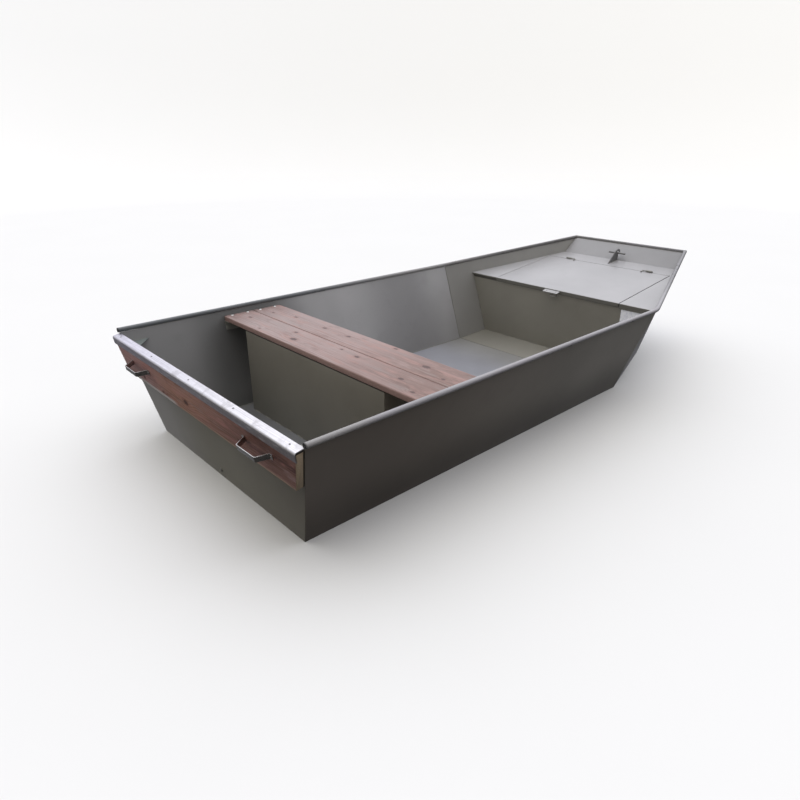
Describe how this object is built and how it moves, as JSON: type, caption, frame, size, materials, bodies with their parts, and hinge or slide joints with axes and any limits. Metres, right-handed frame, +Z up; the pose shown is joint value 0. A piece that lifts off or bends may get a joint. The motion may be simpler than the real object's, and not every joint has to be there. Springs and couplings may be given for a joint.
{
  "type": "aluminium punt",
  "caption": "Flat-bottomed welded aluminium punt with a raked transom board, plank bench on a closed box, and a foredeck with a hinged hatch lid and mooring bitt.",
  "frame": {"origin": "middle of the overall length and beam, on the surface the flat bottom stands on", "axes": "+X to the bow, +Y to port, +Z up"},
  "size_m": [3.046, 1.42, 0.5671],
  "materials": {
    "hull_paint": "semi-matt olive grey paint on aluminium sheet",
    "deck_paint": "the same olive grey paint on the foredeck, semi-matt",
    "stained_board": "red-brown stained softwood with a pale sawn end",
    "bench_wood": "stained softwood planks, semi-matt, grain and knots showing",
    "bare_aluminium": "bare mill-finish aluminium",
    "stainless": "brushed stainless flat bar, leaf and rod",
    "grey_plastic": "grey moulded plastic",
    "black_plastic": "matt black moulded plastic",
    "white_plate": "blank white plate"
  },
  "bodies": {
    "hull": {"bottom_plate": "hull_paint", "transom": "hull_paint", "bow_bottom_plate": "hull_paint", "bow_plate": "hull_paint", "side_port": "hull_paint", "side_starboard": "hull_paint", "bow_side_port": "hull_paint", "bow_side_starboard": "hull_paint", "gunwale_tube_port": "hull_paint", "gunwale_tube_starboard": "hull_paint", "bow_gunwale_port": "hull_paint", "bow_gunwale_starboard": "hull_paint", "bow_tube": "hull_paint", "tube_plug_port": "black_plastic", "tube_plug_starboard": "black_plastic", "transom_board": "stained_board", "transom_cap": "bare_aluminium", "stern_handle_port": "stainless", "stern_handle_starboard": "stainless", "drain_plug": "grey_plastic", "stern_gusset_port": "hull_paint", "stern_gusset_starboard": "hull_paint", "bench_plank_aft": "bench_wood", "bench_plank_fore": "bench_wood", "bench_box": "hull_paint", "bench_bracket_port": "hull_paint", "bench_bracket_starboard": "hull_paint", "bulkhead": "hull_paint", "foredeck_strip_port": "deck_paint", "foredeck_strip_starboard": "deck_paint", "foredeck_strip_bow": "deck_paint", "hatch_gutter_port": "hull_paint", "hatch_gutter_starboard": "hull_paint", "hatch_gutter_bow": "hull_paint", "hinge_barrel_port": "hull_paint", "hinge_barrel_starboard": "hull_paint", "latch_staple": "stainless", "mooring_bitt": "hull_paint", "blank_plate": "white_plate"},
    "hatch": {"hatch_lid": "deck_paint", "hatch_tab": "bare_aluminium", "hinge_pin_port": "hull_paint", "hinge_pin_starboard": "hull_paint"}
  },
  "joints": [
    {"name": "hatch_lid_hinge", "type": "hinge", "parent": "hull", "child": "hatch", "pos_m": [1.27724, 0, 0.45948], "axis": [0, 1, 0], "range_deg": [0, 120]}
  ]
}
